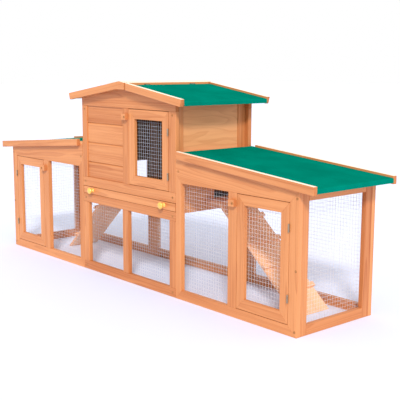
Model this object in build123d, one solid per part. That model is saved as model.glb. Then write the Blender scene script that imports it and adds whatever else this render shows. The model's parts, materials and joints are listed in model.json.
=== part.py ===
from build123d import *
import os
from math import hypot

# Rabbit hutch: a gabled two-storey house with a low mesh run on each side.
# Millimetres, +Z up, +X to the right seen from the front, -Y towards the front.
# The origin is the middle of the footprint, on the ground.

# ---------------------------------------------------------------- driving dimensions

FRAME_HALF_LENGTH = 946.0
HOUSE_HALF_WIDTH = 318.0
HALF_DEPTH = 200.0
PANEL_THICK = 18.0
PANEL_BACK = HALF_DEPTH - PANEL_THICK
MESH_THICK = 1.0
MESH_LAP = 16.0
PANEL_GAP = 1.2
LOWER_MESH_HALF_WIDTH = 278.0
MOVING_GAP = 0.5
DOOR_GAP = 2.0
DOOR_THICK = 14.0

# House, front and back
RAIL_HEIGHT = 37.0
LOWER_TOP_RAIL = (302.0, 338.0)
UPPER_BOTTOM_RAIL = (372.0, 412.0)
UPPER_WINDOW_TOP = 719.5
HOUSE_STILE = 38.0
UPPER_LEFT_STILE = 35.0
LOWER_MIDDLE_STILE = (-27.0, 11.0)
HOUSE_DOOR_OPENING = (19.0, 275.5)
HOUSE_DOOR_FRAME = 40.0
CLADDING_RIGHT = -22.0
CLADDING_STEP = 84.0
CLADDING_FIRST_GROOVE = 481.0
CLADDING_THICK = 10.0
CLADDING_RECESS = 5.0
GROOVE_HEIGHT = 6.0
GROOVE_DEPTH = 4.0

# House side walls, between the front and back panels
WALL_OUTER = 298.0
WALL_STILE = 38.0
WALL_BOTTOM = 323.0
PLY_THICK = 8.0
PLY_RECESS = 4.0
DOORWAY_Y = (20.0, 130.0)
DOORWAY_Z = (368.0, 462.0)

# Gable roof
APEX_HEIGHT = 828.0
GABLE_SLOPE = 0.153
GABLE_LEFT_REACH = 372.0
GABLE_RIGHT_REACH = 388.0
GABLE_OVERHANG = 232.0
BARGEBOARD_THICK = 17.0
BARGEBOARD_HEIGHT = 29.0
BARGEBOARD_END_LEAN = 8.0
BOARD_ABOVE_FELT = 8.0
ROOF_BOARD_THICK = 15.0
FELT_THICK = 2.0
RIDGE_BEAM_LEFT = -30.0
RIDGE_BEAM_RIGHT = 38.0
RIDGE_BEAM_BOTTOM = 795.0
FIXED_BARGEBOARD_END = 34.5
FLAP_START = 42.0
GABLE_TOP_STEP = 1.0
ROOF_HINGE_Y = 120.0

# Runs, given for the right-hand one
RUN_RAIL_HEIGHT = 36.0
RUN_STILE = 32.0
RUN_BACK_STILE = 36.0
RUN_WINDOW_TOP = 452.6
RUN_MIDDLE_STILE = (611.0, 654.5)
RUN_END_STILE = 40.0
RUN_DOOR_FRAME = 37.5
RUN_DOOR_BOTTOM_RAIL = 38.5
END_STILE_FRONT = 31.0
END_STILE_BACK = 36.0
END_RAIL_HEIGHT = 37.0
END_WINDOW_TOP = 457.0
RUN_SLOPE = 0.083
RUN_ROOF_START = 320.0
RUN_ROOF_END = 1020.0
FASCIA_START = 339.0
FASCIA_TOP_AT_START = 573.5
FASCIA_HEIGHT = 30.0
FASCIA_THICK = 17.0

# Ramps: the left one stands a little steeper than the right one
RAMP_TOP_X = {"right": 372.0, "left": 350.0}
RAMP_FOOT_X = {"right": 797.0, "left": 750.0}
RAMP_Y = {"right": (-25.0, 144.0), "left": (-12.0, 144.0)}
RAMP_TOP_Z = 366.0
RAMP_THICK = 12.0
RAMP_LEDGE_HEIGHT = 20.0
CLEAT_FIRST = 93.0
CLEAT_STEP = 117.7
CLEAT_COUNT = 4
CLEAT_WIDTH = 20.0
CLEAT_THICK = 9.0
CLEAT_OVERHANG = 6.0

# Tray drawer
DRAWER_FRONT_HALF_WIDTH = 315.0
DRAWER_FRONT_Z = (339.0, 370.0)
TRAY_HALF_WIDTH = 270.0
TRAY_BACK = 150.0
TRAY_Z = (341.0, 368.0)
TRAY_SHEET = 1.5
RUNNER_WIDTH = 18.0
RUNNER_HEIGHT = 14.0
RUNNER_Y = (-180.0, 160.0)
KNOB_X = 245.0
KNOB_Z = 356.0
KNOB_RADIUS = 14.0
KNOB_REACH = 25.0
KNOB_HEAD_LENGTH = 14.0
KNOB_FOOT_RADIUS = 10.0
KNOB_FOOT_LENGTH = 3.0
KNOB_NECK_RADIUS = 7.0

# Hinges, whose plates stand in the gap beside the moving part, and turn-button latches
HINGE_HEIGHT = 28.0
KNUCKLE_SPLIT = 8.0
KNUCKLE_GAP = 0.4
LEAF_END = 16.0
PIN_CLEARANCE = 0.05
DOOR_PIN_RADIUS = 2.0
DOOR_KNUCKLE_RADIUS = 3.0
DOOR_PLATE_OFFSET = (0.2, 1.0)
DOOR_LEAF_START = 3.6
PIN_STANDOFF = 3.5
ROOF_PIN_RADIUS = 0.9
ROOF_KNUCKLE_RADIUS = 1.7
ROOF_PLATE_OFFSET = (1.2, 2.0)
ROOF_LEAF_START = 2.3
ROOF_PIN_ABOVE_FELT = 1.8
RUN_HINGE_HEIGHTS = (127.0, 367.0)
HOUSE_HINGE_HEIGHTS = (470.0, 640.0)
LATCH_LONG_ARM = 21.0
LATCH_SHORT_ARM = 7.5
LATCH_HEIGHT = 24.0
LATCH_THICK = 15.0
LATCH_PIVOT_TO_GAP = 8.0
RUN_LATCH_Z = 417.0
HOUSE_LATCH_Z = 686.0
SCREW_SHANK_RADIUS = 2.0
SCREW_HEAD_RADIUS = 4.5
SCREW_HEAD_HEIGHT = 2.0
SCREW_EDGE_DISTANCE = 15.0
RUN_TOP_BOARD_SCREW_Z = 497.0

FRONT = -HALF_DEPTH
FRONT_PANEL = (FRONT, -PANEL_BACK)
BACK_PANEL = (PANEL_BACK, HALF_DEPTH)
PIN_Y = FRONT - PIN_STANDOFF
UP = (0, 0, 1)
DOWN = (0, 0, -1)
BACKWARDS = (0, 1, 0)
FORWARDS = (0, -1, 0)


# ---------------------------------------------------------------- shared shapes

def board(x, y, z):
    """A straight board filling the (low, high) spans given along X, Y and Z."""
    size = Box(x[1] - x[0], y[1] - y[0], z[1] - z[0])
    middle = ((x[0] + x[1]) / 2, (y[0] + y[1]) / 2, (z[0] + z[1]) / 2)
    return Pos(*middle) * size


def prism_along_y(outline, y):
    """A solid with an (x, z) outline that runs between two y values."""
    corners = [Vector(x, y[0], z) for x, z in outline]
    face = make_face(Polyline(*corners, close=True))
    return extrude(face, amount=y[1] - y[0], dir=(0, 1, 0))


def prism_along_x(outline, x):
    """A solid with a (y, z) outline that runs between two x values."""
    corners = [Vector(x[0], y, z) for y, z in outline]
    face = make_face(Polyline(*corners, close=True))
    return extrude(face, amount=x[1] - x[0], dir=(1, 0, 0))


def rod_along_y(x, z, radius, y):
    """A round rod with its axis along Y."""
    length = y[1] - y[0]
    return Pos(x, (y[0] + y[1]) / 2, z) * Rot(90, 0, 0) * Cylinder(radius, length)


def mirrored(pieces):
    """The same pieces on the other side of the house."""
    return [piece.mirror(Plane.YZ) for piece in pieces]


def on_both_ends(pieces):
    """The same pieces at the front and, mirrored, at the back."""
    return pieces + [piece.mirror(Plane.XZ) for piece in pieces]


def gable_top(x):
    """Height of the bargeboards' top edge."""
    return APEX_HEIGHT - GABLE_SLOPE * abs(x)


def gable_felt(x):
    return gable_top(x) - BOARD_ABOVE_FELT


def gable_underside(x):
    return gable_felt(x) - FELT_THICK - ROOF_BOARD_THICK


def fascia_top(x):
    """Height of the run fascias' top edge."""
    return FASCIA_TOP_AT_START - RUN_SLOPE * (x - FASCIA_START)


def run_felt(x):
    return fascia_top(x) - BOARD_ABOVE_FELT


def run_underside(x):
    return run_felt(x) - FELT_THICK - ROOF_BOARD_THICK


def hinge_leaf(pin_point, across, pin_direction, knuckles, roof, pin=False):
    """One leaf of a hinge: a thin plate off the pin's plane, joined to knuckles on the pin.

    across points from the pin over the plate, knuckles are the stretches of knuckle
    along the pin, and the leaf with the pin has it fixed through its knuckles.
    """
    knuckle_radius = ROOF_KNUCKLE_RADIUS if roof else DOOR_KNUCKLE_RADIUS
    pin_radius = ROOF_PIN_RADIUS if roof else DOOR_PIN_RADIUS
    plate_y = ROOF_PLATE_OFFSET if roof else DOOR_PLATE_OFFSET
    plate_start = ROOF_LEAF_START if roof else DOOR_LEAF_START
    half = HINGE_HEIGHT / 2
    leaf = board((plate_start, LEAF_END), plate_y, (-half, half))
    for low, high in knuckles:
        leaf += board((0, plate_start), plate_y, (low, high))
        leaf += Pos(0, 0, (low + high) / 2) * Cylinder(knuckle_radius, high - low)
    if pin:
        leaf += Cylinder(pin_radius, HINGE_HEIGHT)
    else:
        leaf -= Cylinder(pin_radius + PIN_CLEARANCE, HINGE_HEIGHT)
    return Plane(origin=pin_point, x_dir=across, z_dir=pin_direction) * leaf


def fixed_leaf(pin_point, across, pin_direction, roof=False):
    """The leaf with the pin and the two end knuckles."""
    half = HINGE_HEIGHT / 2
    split = KNUCKLE_SPLIT + KNUCKLE_GAP
    knuckles = [(-half, -split), (split, half)]
    return hinge_leaf(pin_point, across, pin_direction, knuckles, roof, pin=True)


def moving_leaf(pin_point, across, pin_direction, roof=False):
    """The leaf with the middle knuckle."""
    return hinge_leaf(pin_point, across, pin_direction, [(-KNUCKLE_SPLIT, KNUCKLE_SPLIT)], roof)


def mitred_frame(x, z, side, top, bottom, y):
    """Four boards around a window, joined from each outer corner to the inner one."""
    outer = [(x[0], z[0]), (x[1], z[0]), (x[1], z[1]), (x[0], z[1])]
    inner_x = (x[0] + side, x[1] - side)
    inner_z = (z[0] + bottom, z[1] - top)
    inner = [(inner_x[0], inner_z[0]), (inner_x[1], inner_z[0]),
             (inner_x[1], inner_z[1]), (inner_x[0], inner_z[1])]
    boards = []
    for corner in range(4):
        following = (corner + 1) % 4
        outline = [outer[corner], outer[following], inner[following], inner[corner]]
        boards.append(prism_along_y(outline, y))
    return boards


def door_frame(x, z, side, top, bottom):
    """The mitred frame of a door in the front panel."""
    return mitred_frame(x, z, side, top, bottom, (FRONT, FRONT + DOOR_THICK))


def door_mesh(x, z, lap):
    """The mesh stapled to the back of a door."""
    y = FRONT + DOOR_THICK
    return [board((x[0] + lap, x[1] - lap), (y, y + MESH_THICK), (z[0] + lap, z[1] - lap))]


def latch(gap_x, z):
    """A turn button beside the gap at gap_x, drawn back clear of the door."""
    pivot = gap_x - LATCH_PIVOT_TO_GAP
    y_back = FRONT - MOVING_GAP
    y = (y_back - LATCH_THICK, y_back)
    block = board(
        (pivot - LATCH_LONG_ARM, pivot + LATCH_SHORT_ARM), y,
        (z - LATCH_HEIGHT / 2, z + LATCH_HEIGHT / 2),
    )
    bore = rod_along_y(pivot, z, SCREW_SHANK_RADIUS + PIN_CLEARANCE, y)
    return [block - bore]


def latch_screw(gap_x, z):
    """The screw a turn button pivots on."""
    pivot = gap_x - LATCH_PIVOT_TO_GAP
    head_back = FRONT - LATCH_THICK - 2 * MOVING_GAP
    shank = rod_along_y(pivot, z, SCREW_SHANK_RADIUS, (head_back, FRONT))
    head = rod_along_y(pivot, z, SCREW_HEAD_RADIUS, (head_back - SCREW_HEAD_HEIGHT, head_back))
    return [shank + head]


def screw_heads(places):
    """Round screw heads on the front face, at (x, z) places."""
    y = (FRONT - SCREW_HEAD_HEIGHT / 2, FRONT)
    return [rod_along_y(x, z, SCREW_HEAD_RADIUS, y) for x, z in places]


# ---------------------------------------------------------------- house

def gable_board(y):
    """The board that fills the gable between the stiles and the roof."""
    flat_half_width = (gable_underside(0) - RIDGE_BEAM_BOTTOM) / GABLE_SLOPE
    right_drop = MOVING_GAP
    w = HOUSE_HALF_WIDTH
    return prism_along_y([
        (-w, UPPER_WINDOW_TOP),
        (w, UPPER_WINDOW_TOP),
        (w, gable_underside(w) - right_drop),
        (flat_half_width, RIDGE_BEAM_BOTTOM - right_drop),
        (flat_half_width - GABLE_TOP_STEP, RIDGE_BEAM_BOTTOM),
        (-flat_half_width, RIDGE_BEAM_BOTTOM),
        (-w, gable_underside(w)),
    ], y)


def cladding(x, z, y_front, groove_side):
    """Shiplap boards with a groove along the top of each one but the last."""
    y_back = y_front + groove_side * CLADDING_THICK
    y_groove = y_front + groove_side * GROOVE_DEPTH
    boards = []
    low = z[0]
    high = CLADDING_FIRST_GROOVE
    while low < z[1]:
        high = min(high, z[1])
        if high < z[1]:
            outline = [
                (y_front, low), (y_front, high - GROOVE_HEIGHT), (y_groove, high - GROOVE_HEIGHT / 2),
                (y_groove, high), (y_back, high), (y_back, low),
            ]
        else:
            outline = [(y_front, low), (y_front, high), (y_back, high), (y_back, low)]
        boards.append(prism_along_x(outline, x))
        low = high
        high = high + CLADDING_STEP
    return boards


def lower_mesh(y):
    """The mesh behind the lower opening of the house, between the side walls."""
    z = (RAIL_HEIGHT - MESH_LAP, LOWER_TOP_RAIL[0] + MESH_LAP)
    return board((-LOWER_MESH_HALF_WIDTH, LOWER_MESH_HALF_WIDTH), y, z)


def house_front(nodes):
    w = HOUSE_HALF_WIDTH
    door_left, door_right = HOUSE_DOOR_OPENING
    cladding_left = -w + UPPER_LEFT_STILE
    rail_z = UPPER_BOTTOM_RAIL
    stile_z = (rail_z[1], UPPER_WINDOW_TOP)
    nodes["house_front_upper_frame"] = [
        board((-w, w), FRONT_PANEL, rail_z),
        board((-w, cladding_left), FRONT_PANEL, stile_z),
        board((CLADDING_RIGHT, door_left), FRONT_PANEL, stile_z),
        board((door_right, w), FRONT_PANEL, stile_z),
    ]
    nodes["house_front_cladding"] = cladding(
        (cladding_left, CLADDING_RIGHT), stile_z, FRONT + CLADDING_RECESS, 1,
    )
    lower_stile_z = (RAIL_HEIGHT, LOWER_TOP_RAIL[0])
    nodes["house_front_lower_frame"] = [
        board((-w, w), FRONT_PANEL, (0, RAIL_HEIGHT)),
        board((-w, w), FRONT_PANEL, LOWER_TOP_RAIL),
        board((-w, -w + HOUSE_STILE), FRONT_PANEL, lower_stile_z),
        board(LOWER_MIDDLE_STILE, FRONT_PANEL, lower_stile_z),
        board((w - HOUSE_STILE, w), FRONT_PANEL, lower_stile_z),
    ]
    nodes["house_front_lower_mesh"] = [lower_mesh((-PANEL_BACK, -PANEL_BACK + MESH_THICK))]
    nodes["gable_boards"] = [gable_board(FRONT_PANEL), gable_board(BACK_PANEL)]


def house_back(nodes):
    w = HOUSE_HALF_WIDTH
    stile_inner = w - HOUSE_STILE
    stile_z = (RAIL_HEIGHT, UPPER_WINDOW_TOP)
    nodes["house_back_frame"] = [
        board((-w, w), BACK_PANEL, (0, RAIL_HEIGHT)),
        board((-stile_inner, stile_inner), BACK_PANEL, LOWER_TOP_RAIL),
        board((-w, -stile_inner), BACK_PANEL, stile_z),
        board((stile_inner, w), BACK_PANEL, stile_z),
    ]
    nodes["house_back_cladding"] = cladding(
        (-stile_inner, stile_inner), (LOWER_TOP_RAIL[1], UPPER_WINDOW_TOP),
        HALF_DEPTH - CLADDING_RECESS, -1,
    )
    nodes["house_back_mesh"] = [lower_mesh((PANEL_BACK - MESH_THICK, PANEL_BACK))]


def house_sides(nodes):
    inner = WALL_OUTER - PANEL_THICK
    ply_outer = WALL_OUTER - PLY_RECESS
    ply_y = PANEL_BACK - WALL_STILE
    outline = [
        (inner, WALL_BOTTOM),
        (WALL_OUTER, WALL_BOTTOM),
        (WALL_OUTER, gable_underside(WALL_OUTER) - MOVING_GAP),
        (inner, gable_underside(inner) - MOVING_GAP),
    ]
    right_stiles = on_both_ends([prism_along_y(outline, (-PANEL_BACK, -ply_y))])
    nodes["house_side_stiles"] = right_stiles + mirrored(right_stiles)
    ply_outline = [
        (ply_outer - PLY_THICK, WALL_BOTTOM),
        (ply_outer, WALL_BOTTOM),
        (ply_outer, gable_underside(ply_outer) - MOVING_GAP),
        (ply_outer - PLY_THICK, gable_underside(ply_outer) - MOVING_GAP),
    ]
    panel = prism_along_y(ply_outline, (-ply_y, ply_y))
    panel -= board((inner, WALL_OUTER), DOORWAY_Y, DOORWAY_Z)
    nodes["house_right_side_panel"] = [panel]
    nodes["house_left_side_panel"] = mirrored([panel])
    runner_top = TRAY_Z[0] - MOVING_GAP
    runner = board((inner - RUNNER_WIDTH, inner), RUNNER_Y, (runner_top - RUNNER_HEIGHT, runner_top))
    nodes["tray_runners"] = [runner] + mirrored([runner])


def gable_roof(nodes):
    roof_y = (-GABLE_OVERHANG + BARGEBOARD_THICK, GABLE_OVERHANG - BARGEBOARD_THICK)
    front_board_y = (-GABLE_OVERHANG, -GABLE_OVERHANG + BARGEBOARD_THICK)

    def roof_half(start, reach):
        """Roof board and the felt that covers it and wraps its eave, as on the right-hand side."""
        felt_end = reach - FELT_THICK
        under_board = [
            (start, gable_underside(start)), (felt_end, gable_underside(felt_end)),
            (felt_end, gable_underside(felt_end) + ROOF_BOARD_THICK),
            (start, gable_underside(start) + ROOF_BOARD_THICK),
        ]
        felt = [
            (start, gable_felt(start) - FELT_THICK), (felt_end, gable_felt(felt_end) - FELT_THICK),
            (felt_end, gable_underside(felt_end)), (reach, gable_underside(reach)),
            (reach, gable_felt(reach)), (start, gable_felt(start)),
        ]
        return [prism_along_y(under_board, roof_y)], [prism_along_y(felt, roof_y)]

    left_board, left_felt = roof_half(-RIDGE_BEAM_LEFT, GABLE_LEFT_REACH)
    nodes["left_roof_board"] = mirrored(left_board)
    nodes["left_roof_felt"] = mirrored(left_felt)
    right_board, right_felt = roof_half(FLAP_START, GABLE_RIGHT_REACH)
    nodes["right_roof_board"] = right_board
    nodes["right_roof_felt"] = right_felt

    beam_y = (roof_y[0] + MOVING_GAP, roof_y[1] - MOVING_GAP)
    nodes["ridge_beam"] = [prism_along_y([
        (RIDGE_BEAM_LEFT, RIDGE_BEAM_BOTTOM), (RIDGE_BEAM_RIGHT, RIDGE_BEAM_BOTTOM),
        (RIDGE_BEAM_RIGHT, gable_top(RIDGE_BEAM_RIGHT)), (0, APEX_HEIGHT),
        (RIDGE_BEAM_LEFT, gable_top(RIDGE_BEAM_LEFT)),
    ], beam_y)]

    def lower_edge(x):
        return gable_top(x) - BARGEBOARD_HEIGHT

    left_low_end = GABLE_LEFT_REACH - BARGEBOARD_END_LEAN
    right_low_end = GABLE_RIGHT_REACH - BARGEBOARD_END_LEAN
    notch = (gable_top(0) - BARGEBOARD_HEIGHT - RIDGE_BEAM_BOTTOM) / GABLE_SLOPE
    fixed = prism_along_y([
        (-GABLE_LEFT_REACH, gable_top(GABLE_LEFT_REACH)), (-left_low_end, lower_edge(left_low_end)),
        (-notch, RIDGE_BEAM_BOTTOM), (FIXED_BARGEBOARD_END, RIDGE_BEAM_BOTTOM),
        (FIXED_BARGEBOARD_END, gable_top(FIXED_BARGEBOARD_END)), (0, APEX_HEIGHT),
    ], front_board_y)
    flap = prism_along_y([
        (FLAP_START, gable_top(FLAP_START)), (FLAP_START, lower_edge(FLAP_START)),
        (right_low_end, lower_edge(right_low_end)), (GABLE_RIGHT_REACH, gable_top(GABLE_RIGHT_REACH)),
    ], front_board_y)
    nodes["left_bargeboards"] = on_both_ends([fixed])
    nodes["right_bargeboards"] = on_both_ends([flap])


# ---------------------------------------------------------------- runs

def run_panel_frame(y, inner_stile):
    """The mitred frame of a run's front or back; its top board reaches up to the roof."""
    inner, outer = HOUSE_HALF_WIDTH + PANEL_GAP, FRAME_HALF_LENGTH
    window = (inner + inner_stile, outer - RUN_END_STILE)
    inner_mitre_top = RUN_WINDOW_TOP + inner_stile
    outer_mitre_top = RUN_WINDOW_TOP + RUN_END_STILE
    outlines = [
        [(inner, 0), (outer, 0), (window[1], RUN_RAIL_HEIGHT), (window[0], RUN_RAIL_HEIGHT)],
        [(inner, 0), (window[0], RUN_RAIL_HEIGHT), (window[0], RUN_WINDOW_TOP), (inner, inner_mitre_top)],
        [(outer, 0), (outer, outer_mitre_top), (window[1], RUN_WINDOW_TOP), (window[1], RUN_RAIL_HEIGHT)],
        [(window[0], RUN_WINDOW_TOP), (window[1], RUN_WINDOW_TOP), (outer, outer_mitre_top),
         (outer, run_underside(outer)), (inner, run_underside(inner)), (inner, inner_mitre_top)],
    ]
    return [prism_along_y(outline, y) for outline in outlines]


def run_front_and_back(nodes, side):
    mesh_z = (RUN_RAIL_HEIGHT - MESH_LAP, RUN_WINDOW_TOP + MESH_LAP)
    window_start = HOUSE_HALF_WIDTH + PANEL_GAP + RUN_STILE
    front_mesh_x = (window_start - MESH_LAP, RUN_MIDDLE_STILE[0] + MESH_LAP)
    back_mesh_x = (window_start - MESH_LAP, FRAME_HALF_LENGTH - RUN_END_STILE + MESH_LAP)
    middle_stile = board(RUN_MIDDLE_STILE, FRONT_PANEL, (RUN_RAIL_HEIGHT, RUN_WINDOW_TOP))
    nodes[side + "_run_front_frame"] = run_panel_frame(FRONT_PANEL, RUN_STILE) + [middle_stile]
    nodes[side + "_run_front_mesh"] = [board(front_mesh_x, (-PANEL_BACK, -PANEL_BACK + MESH_THICK), mesh_z)]
    nodes[side + "_run_back_frame"] = run_panel_frame(BACK_PANEL, RUN_BACK_STILE)
    nodes[side + "_run_back_mesh"] = [board(back_mesh_x, (PANEL_BACK - MESH_THICK, PANEL_BACK), mesh_z)]


def run_end(nodes, side):
    outer = FRAME_HALF_LENGTH
    inner = outer - PANEL_THICK
    window_y = (-PANEL_BACK + END_STILE_FRONT, PANEL_BACK - END_STILE_BACK)

    def sloped_top(low):
        """Outline of a piece of the end frame that reaches up to the roof."""
        return [(inner, low), (outer, low), (outer, run_underside(outer)), (inner, run_underside(inner))]

    nodes[side + "_run_end_frame"] = [
        prism_along_y(sloped_top(0), (-PANEL_BACK, window_y[0])),
        prism_along_y(sloped_top(0), (window_y[1], PANEL_BACK)),
        board((inner, outer), window_y, (0, END_RAIL_HEIGHT)),
        prism_along_y(sloped_top(END_WINDOW_TOP), window_y),
    ]
    nodes[side + "_run_end_mesh"] = [
        board((inner - MESH_THICK, inner), (window_y[0] - MESH_LAP, window_y[1] + MESH_LAP),
              (RUN_RAIL_HEIGHT - MESH_LAP, END_WINDOW_TOP + MESH_LAP)),
    ]


def run_roof(nodes, side):
    roof_y = (-HALF_DEPTH, HALF_DEPTH)
    start, end = RUN_ROOF_START, RUN_ROOF_END - FELT_THICK
    nodes[side + "_run_roof_board"] = [prism_along_y([
        (start, run_underside(start)), (end, run_underside(end)),
        (end, run_underside(end) + ROOF_BOARD_THICK), (start, run_underside(start) + ROOF_BOARD_THICK),
    ], roof_y)]
    nodes[side + "_run_roof_felt"] = [prism_along_y([
        (start, run_felt(start) - FELT_THICK), (end, run_felt(end) - FELT_THICK),
        (end, run_underside(end)), (RUN_ROOF_END, run_underside(RUN_ROOF_END)),
        (RUN_ROOF_END, run_felt(RUN_ROOF_END)), (start, run_felt(start)),
    ], roof_y)]
    fascia = prism_along_y([
        (FASCIA_START, fascia_top(FASCIA_START)), (RUN_ROOF_END, fascia_top(RUN_ROOF_END)),
        (RUN_ROOF_END, fascia_top(RUN_ROOF_END) - FASCIA_HEIGHT),
        (FASCIA_START, fascia_top(FASCIA_START) - FASCIA_HEIGHT),
    ], (FRONT - FASCIA_THICK, FRONT))
    nodes[side + "_run_fascias"] = on_both_ends([fascia])


def ramp(nodes, side):
    """The sloping ramp board, the landing it starts from and the cleats across it."""
    top_x, top_z, foot_x = RAMP_TOP_X[side], RAMP_TOP_Z, RAMP_FOOT_X[side]
    y = RAMP_Y[side]
    run = foot_x - top_x
    length = hypot(run, top_z)
    drop = RAMP_THICK * length / run
    foot_back = foot_x - drop * run / top_z
    slope_board = prism_along_y([
        (top_x, top_z), (foot_x, 0), (foot_back, 0), (top_x, top_z - drop),
    ], y)
    ledge_z = (DOORWAY_Z[0] - RAMP_LEDGE_HEIGHT, DOORWAY_Z[0])
    ledge = board((WALL_OUTER - PLY_RECESS, top_x), y, ledge_z)
    along = Vector(run / length, 0, -top_z / length)
    upward = Vector(top_z / length, 0, run / length)
    cleats = []
    for number in range(CLEAT_COUNT):
        start = Vector(top_x, 0, top_z) + along * (CLEAT_FIRST - CLEAT_WIDTH / 2 + number * CLEAT_STEP)
        corners = [
            start, start + along * CLEAT_WIDTH,
            start + along * CLEAT_WIDTH + upward * CLEAT_THICK, start + upward * CLEAT_THICK,
        ]
        outline = [(corner.X, corner.Z) for corner in corners]
        cleats.append(prism_along_y(outline, (y[0] - CLEAT_OVERHANG, y[1] + CLEAT_OVERHANG)))
    nodes[side + "_ramp_board"] = [slope_board, ledge]
    return cleats


def run_door(nodes, side):
    """The run's door, its hinge leaves and its latch; returns the fixed hinge leaves."""
    x = (RUN_MIDDLE_STILE[1] + DOOR_GAP, FRAME_HALF_LENGTH - RUN_END_STILE - DOOR_GAP)
    z = (RUN_RAIL_HEIGHT + DOOR_GAP, RUN_WINDOW_TOP - DOOR_GAP)
    nodes[side + "_door_frame"] = door_frame(x, z, RUN_DOOR_FRAME, RUN_DOOR_FRAME, RUN_DOOR_BOTTOM_RAIL)
    nodes[side + "_door_mesh"] = door_mesh(x, z, RUN_DOOR_FRAME / 2)
    pins = [(x[1] + DOOR_GAP / 2, PIN_Y, height) for height in RUN_HINGE_HEIGHTS]
    nodes[side + "_door_hinge_leaves"] = [moving_leaf(pin, BACKWARDS, UP) for pin in pins]
    nodes[side + "_latch"] = latch(RUN_MIDDLE_STILE[1], RUN_LATCH_Z)
    return [fixed_leaf(pin, BACKWARDS, DOWN) for pin in pins]


def run_nodes(side):
    nodes = {}
    run_front_and_back(nodes, side)
    run_end(nodes, side)
    run_roof(nodes, side)
    cleats = ramp(nodes, side)
    fixed_leaves = run_door(nodes, side)
    return nodes, cleats, fixed_leaves


# ---------------------------------------------------------------- house door and drawer

def house_door(nodes):
    left, right = HOUSE_DOOR_OPENING
    x = (left + DOOR_GAP, right - DOOR_GAP)
    z = (UPPER_BOTTOM_RAIL[1] + DOOR_GAP, UPPER_WINDOW_TOP - DOOR_GAP)
    frame_width = HOUSE_DOOR_FRAME - DOOR_GAP
    nodes["house_door_frame"] = door_frame(x, z, frame_width, frame_width, frame_width)
    nodes["house_door_mesh"] = door_mesh(x, z, frame_width / 2)
    pins = [(right - DOOR_GAP / 2, PIN_Y, height) for height in HOUSE_HINGE_HEIGHTS]
    nodes["house_door_hinge_leaves"] = [moving_leaf(pin, BACKWARDS, UP) for pin in pins]
    nodes["house_latch"] = latch(left, HOUSE_LATCH_Z)
    return [fixed_leaf(pin, BACKWARDS, DOWN) for pin in pins]


def roof_flap_hinges(nodes):
    """Slim hinges in the seam between the ridge beam and the right roof half."""
    pin_x = (RIDGE_BEAM_RIGHT + FLAP_START) / 2
    pin_z = gable_felt(pin_x) + ROOF_PIN_ABOVE_FELT
    pins = [(pin_x, y, pin_z) for y in (-ROOF_HINGE_Y, ROOF_HINGE_Y)]
    nodes["right_roof_hinge_leaves"] = [moving_leaf(pin, DOWN, FORWARDS, roof=True) for pin in pins]
    return [fixed_leaf(pin, DOWN, BACKWARDS, roof=True) for pin in pins]


def knob(x):
    """A turned knob on the drawer front: a foot, a narrower neck and a rounded head."""
    neck_length = KNOB_REACH - KNOB_HEAD_LENGTH
    foot = Pos(0, 0, KNOB_FOOT_LENGTH / 2) * Cylinder(KNOB_FOOT_RADIUS, KNOB_FOOT_LENGTH)
    neck = Pos(0, 0, neck_length / 2) * Cylinder(KNOB_NECK_RADIUS, neck_length)
    head = Cylinder(KNOB_RADIUS, KNOB_HEAD_LENGTH)
    rims = head.edges().filter_by(GeomType.CIRCLE).sort_by(Axis.Z)
    head = fillet(rims[-1], KNOB_HEAD_LENGTH / 2)
    head = fillet(head.edges().filter_by(GeomType.CIRCLE).sort_by(Axis.Z)[0], KNOB_HEAD_LENGTH / 4)
    turned = foot + neck + Pos(0, 0, neck_length + KNOB_HEAD_LENGTH / 2) * head
    return Pos(x, FRONT, KNOB_Z) * Rot(90, 0, 0) * turned


def drawer(nodes):
    w = DRAWER_FRONT_HALF_WIDTH
    front_back = -PANEL_BACK - MOVING_GAP
    nodes["drawer_front"] = [board((-w, w), (FRONT, front_back), DRAWER_FRONT_Z)]
    half = TRAY_HALF_WIDTH
    tray = board((-half, half), (front_back, TRAY_BACK), TRAY_Z)
    tray -= board((-half + TRAY_SHEET, half - TRAY_SHEET),
                  (front_back + TRAY_SHEET, TRAY_BACK - TRAY_SHEET),
                  (TRAY_Z[0] + TRAY_SHEET, TRAY_Z[1]))
    nodes["drawer_tray"] = [tray]
    nodes["drawer_knobs"] = [knob(-KNOB_X), knob(KNOB_X)]


def panel_screw_places():
    """Where the front panels are screwed to the frames behind them."""
    house_x = HOUSE_HALF_WIDTH - HOUSE_STILE / 2
    run_x = FRAME_HALF_LENGTH - PANEL_THICK / 2
    places = [(HOUSE_HALF_WIDTH + PANEL_GAP + SCREW_EDGE_DISTANCE, RUN_TOP_BOARD_SCREW_Z)]
    for rail in ((0, RAIL_HEIGHT), LOWER_TOP_RAIL, UPPER_BOTTOM_RAIL):
        places.append((house_x, (rail[0] + rail[1]) / 2))
    places.append((house_x, UPPER_WINDOW_TOP - SCREW_EDGE_DISTANCE))
    for z in (RAIL_HEIGHT / 2, RUN_WINDOW_TOP / 2, RUN_WINDOW_TOP + SCREW_EDGE_DISTANCE):
        places.append((run_x, z))
    return places + [(-x, z) for x, z in places]


# ---------------------------------------------------------------- assembly

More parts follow.
